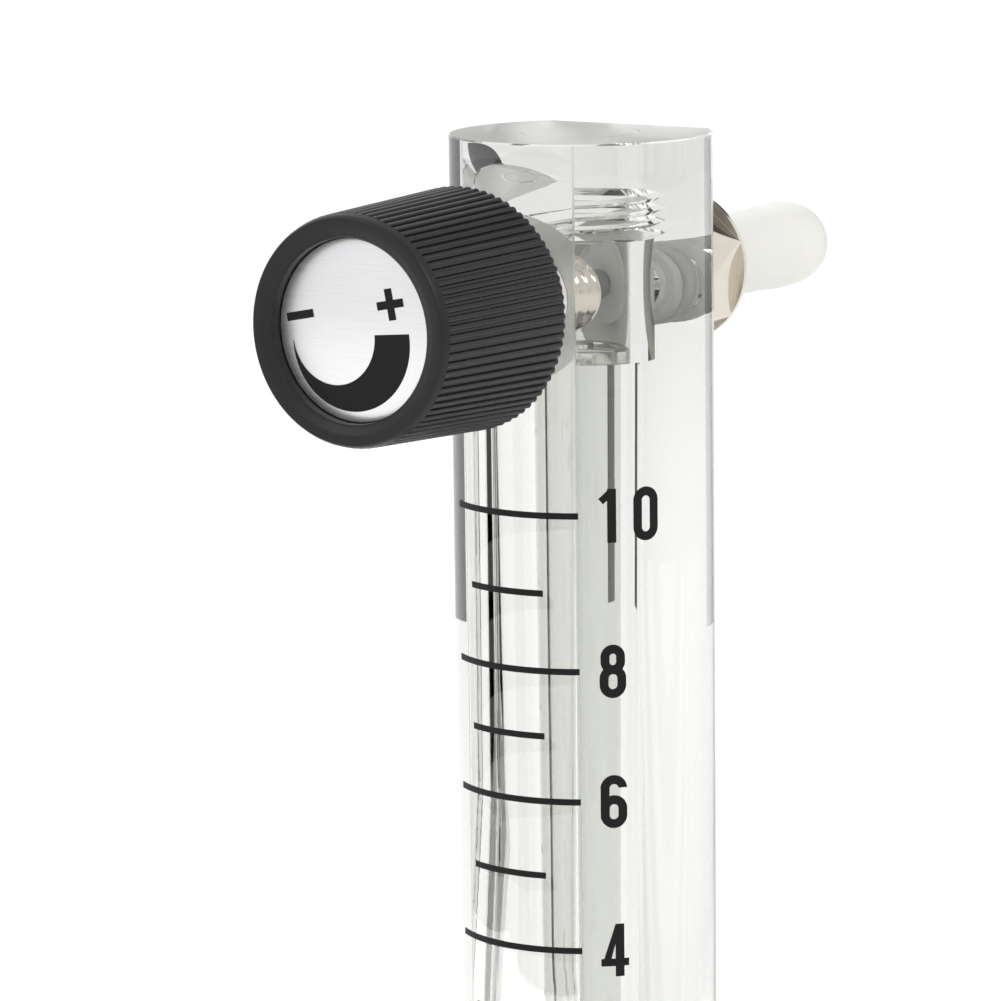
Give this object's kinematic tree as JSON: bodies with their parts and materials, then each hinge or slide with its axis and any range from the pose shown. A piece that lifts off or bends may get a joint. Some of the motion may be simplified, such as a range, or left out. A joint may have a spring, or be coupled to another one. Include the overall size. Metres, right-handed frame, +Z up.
{
  "type": "panel-mounted gas flow meter",
  "caption": "Clear acrylic variable-area gas flow meter with a needle valve knob at the top front and two threaded hose tails at the back.",
  "frame": {"origin": "on the flat back face of the block, midway between the outlet and inlet axes", "axes": "+Z up along the float tube, -Y towards the front where the knob is, +Y towards the hose, +X to the right seen from the front"},
  "size_m": [0.025, 0.0792, 0.129],
  "materials": {
    "clear_acrylic": "polished",
    "clear_nylon": "satin",
    "stainless": "turned",
    "fibre_gasket": "matt",
    "nickel_plate": "bright",
    "black_rubber": "matt",
    "black_abs": "satin",
    "brass": "machined",
    "steel_screw": "machined",
    "brushed_aluminium": "brushed",
    "black_ink": "printed",
    "natural_nylon": "satin",
    "clear_silicone": "satin"
  },
  "bodies": {
    "block": {"meter_body": "clear_acrylic", "top_plug": "clear_acrylic", "bottom_plug": "clear_acrylic", "upper_float_stop": "clear_nylon", "lower_float_stop": "clear_nylon", "valve_gasket": "fibre_gasket", "valve_body": "nickel_plate", "gland_nut": "nickel_plate", "scale_marks": "black_ink", "scale_digits": "black_ink", "outlet_hose_tail": "natural_nylon", "outlet_o_ring": "clear_silicone", "outlet_washer": "natural_nylon", "outlet_panel_nut": "nickel_plate", "inlet_hose_tail": "natural_nylon", "inlet_o_ring": "clear_silicone", "inlet_washer": "natural_nylon", "inlet_panel_nut": "nickel_plate"},
    "float": {"metering_float": "stainless"},
    "stem_seal": {"stem_o_ring": "black_rubber"},
    "knob_and_stem": {"valve_stem": "stainless", "knob": "black_abs", "knob_insert": "brass", "knob_screw": "steel_screw", "knob_plate": "brushed_aluminium", "knob_marking": "black_ink"}
  },
  "joints": [
    {"name": "float_rise", "type": "slide", "parent": "block", "child": "float", "axis": [0, 0, 1], "range_m": [0, 0.0772]},
    {"name": "stem_travel", "type": "slide", "parent": "block", "child": "stem_seal", "axis": [0, -1, 0], "range_m": [0, 0.00225]},
    {"name": "knob_turn", "type": "hinge", "parent": "stem_seal", "child": "knob_and_stem", "pos_m": [0, -0.0473, 0.05], "axis": [0, -1, 0], "range_deg": [0, 1080]}
  ],
  "couplings": [
    {"joint": "stem_travel", "follows": "knob_turn", "m_per_rad": 0.00011937}
  ]
}
